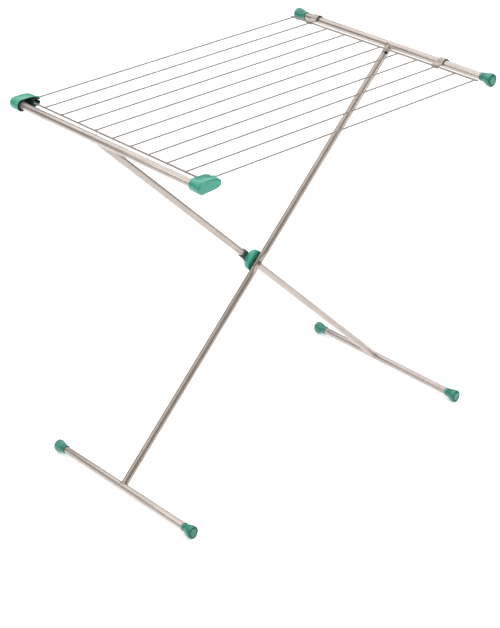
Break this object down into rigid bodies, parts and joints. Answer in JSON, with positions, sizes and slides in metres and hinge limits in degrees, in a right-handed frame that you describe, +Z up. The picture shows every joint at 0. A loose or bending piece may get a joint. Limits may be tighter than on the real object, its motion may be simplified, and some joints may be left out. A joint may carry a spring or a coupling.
{
  "type": "clothes drying rack",
  "caption": "Free-standing folding clothes airer: two single-leg tube frames crossed in an X carry a hinged grid of long drying wires that hooks over the far top bar.",
  "frame": {"origin": "on the floor, under the middle of the rack's box", "axes": "+Z up, +X along the wires from the hinge bar to the hook bar, +Y along the bars, from the near end to the far end"},
  "size_m": [1.0073, 0.7206, 1.0043],
  "materials": {
    "pearl_enamel": "smooth pearl-beige enamel on steel tube",
    "grey_enamel": "satin grey-brown enamel on steel tube",
    "wire_enamel": "smooth enamel on drawn steel wire",
    "green_plastic": "moulded, semi-gloss",
    "clip_plastic": "moulded, satin",
    "zinc_steel": "zinc-plated, dull"
  },
  "bodies": {
    "inner_frame": {"inner_leg": "pearl_enamel", "inner_foot_bar": "pearl_enamel", "hinge_bar": "pearl_enamel", "inner_foot_cap_near": "green_plastic", "inner_foot_cap_far": "green_plastic", "hub_housing": "green_plastic", "pivot_bolt": "zinc_steel", "pivot_washer_rear": "zinc_steel", "pivot_nut": "zinc_steel", "pivot_spacer": "zinc_steel"},
    "outer_frame": {"outer_leg": "grey_enamel", "outer_foot_bar": "pearl_enamel", "hook_bar": "pearl_enamel", "outer_foot_cap_near": "green_plastic", "outer_foot_cap_far": "green_plastic", "hook_bar_cap_near": "green_plastic", "hook_bar_cap_far": "green_plastic", "pivot_washer_front": "zinc_steel"},
    "grid": {"wire_01": "wire_enamel", "wire_02": "wire_enamel", "wire_03": "wire_enamel", "wire_04": "wire_enamel", "wire_05": "wire_enamel", "wire_06": "wire_enamel", "wire_07": "wire_enamel", "wire_08": "wire_enamel", "wire_09": "wire_enamel", "wire_10": "wire_enamel", "wire_11": "wire_enamel", "hinge_rod": "wire_enamel", "hook_rod": "wire_enamel", "hook_clip_near": "clip_plastic", "hook_clip_far": "clip_plastic", "corner_cap_near": "green_plastic", "corner_cap_far": "green_plastic"}
  },
  "joints": [
    {"name": "leg_fold", "type": "hinge", "parent": "inner_frame", "child": "outer_frame", "pos_m": [-0.00151, 0, 0.505], "axis": [0, -1, 0], "range_deg": [0, 84]},
    {"name": "grid_swing", "type": "hinge", "parent": "inner_frame", "child": "grid", "pos_m": [-0.4875, 0, 0.988], "axis": [0, -1, 0], "range_deg": [0, 286]}
  ],
  "couplings": [
    {"joint": "grid_swing", "follows": "leg_fold", "ratio": 3.4}
  ]
}
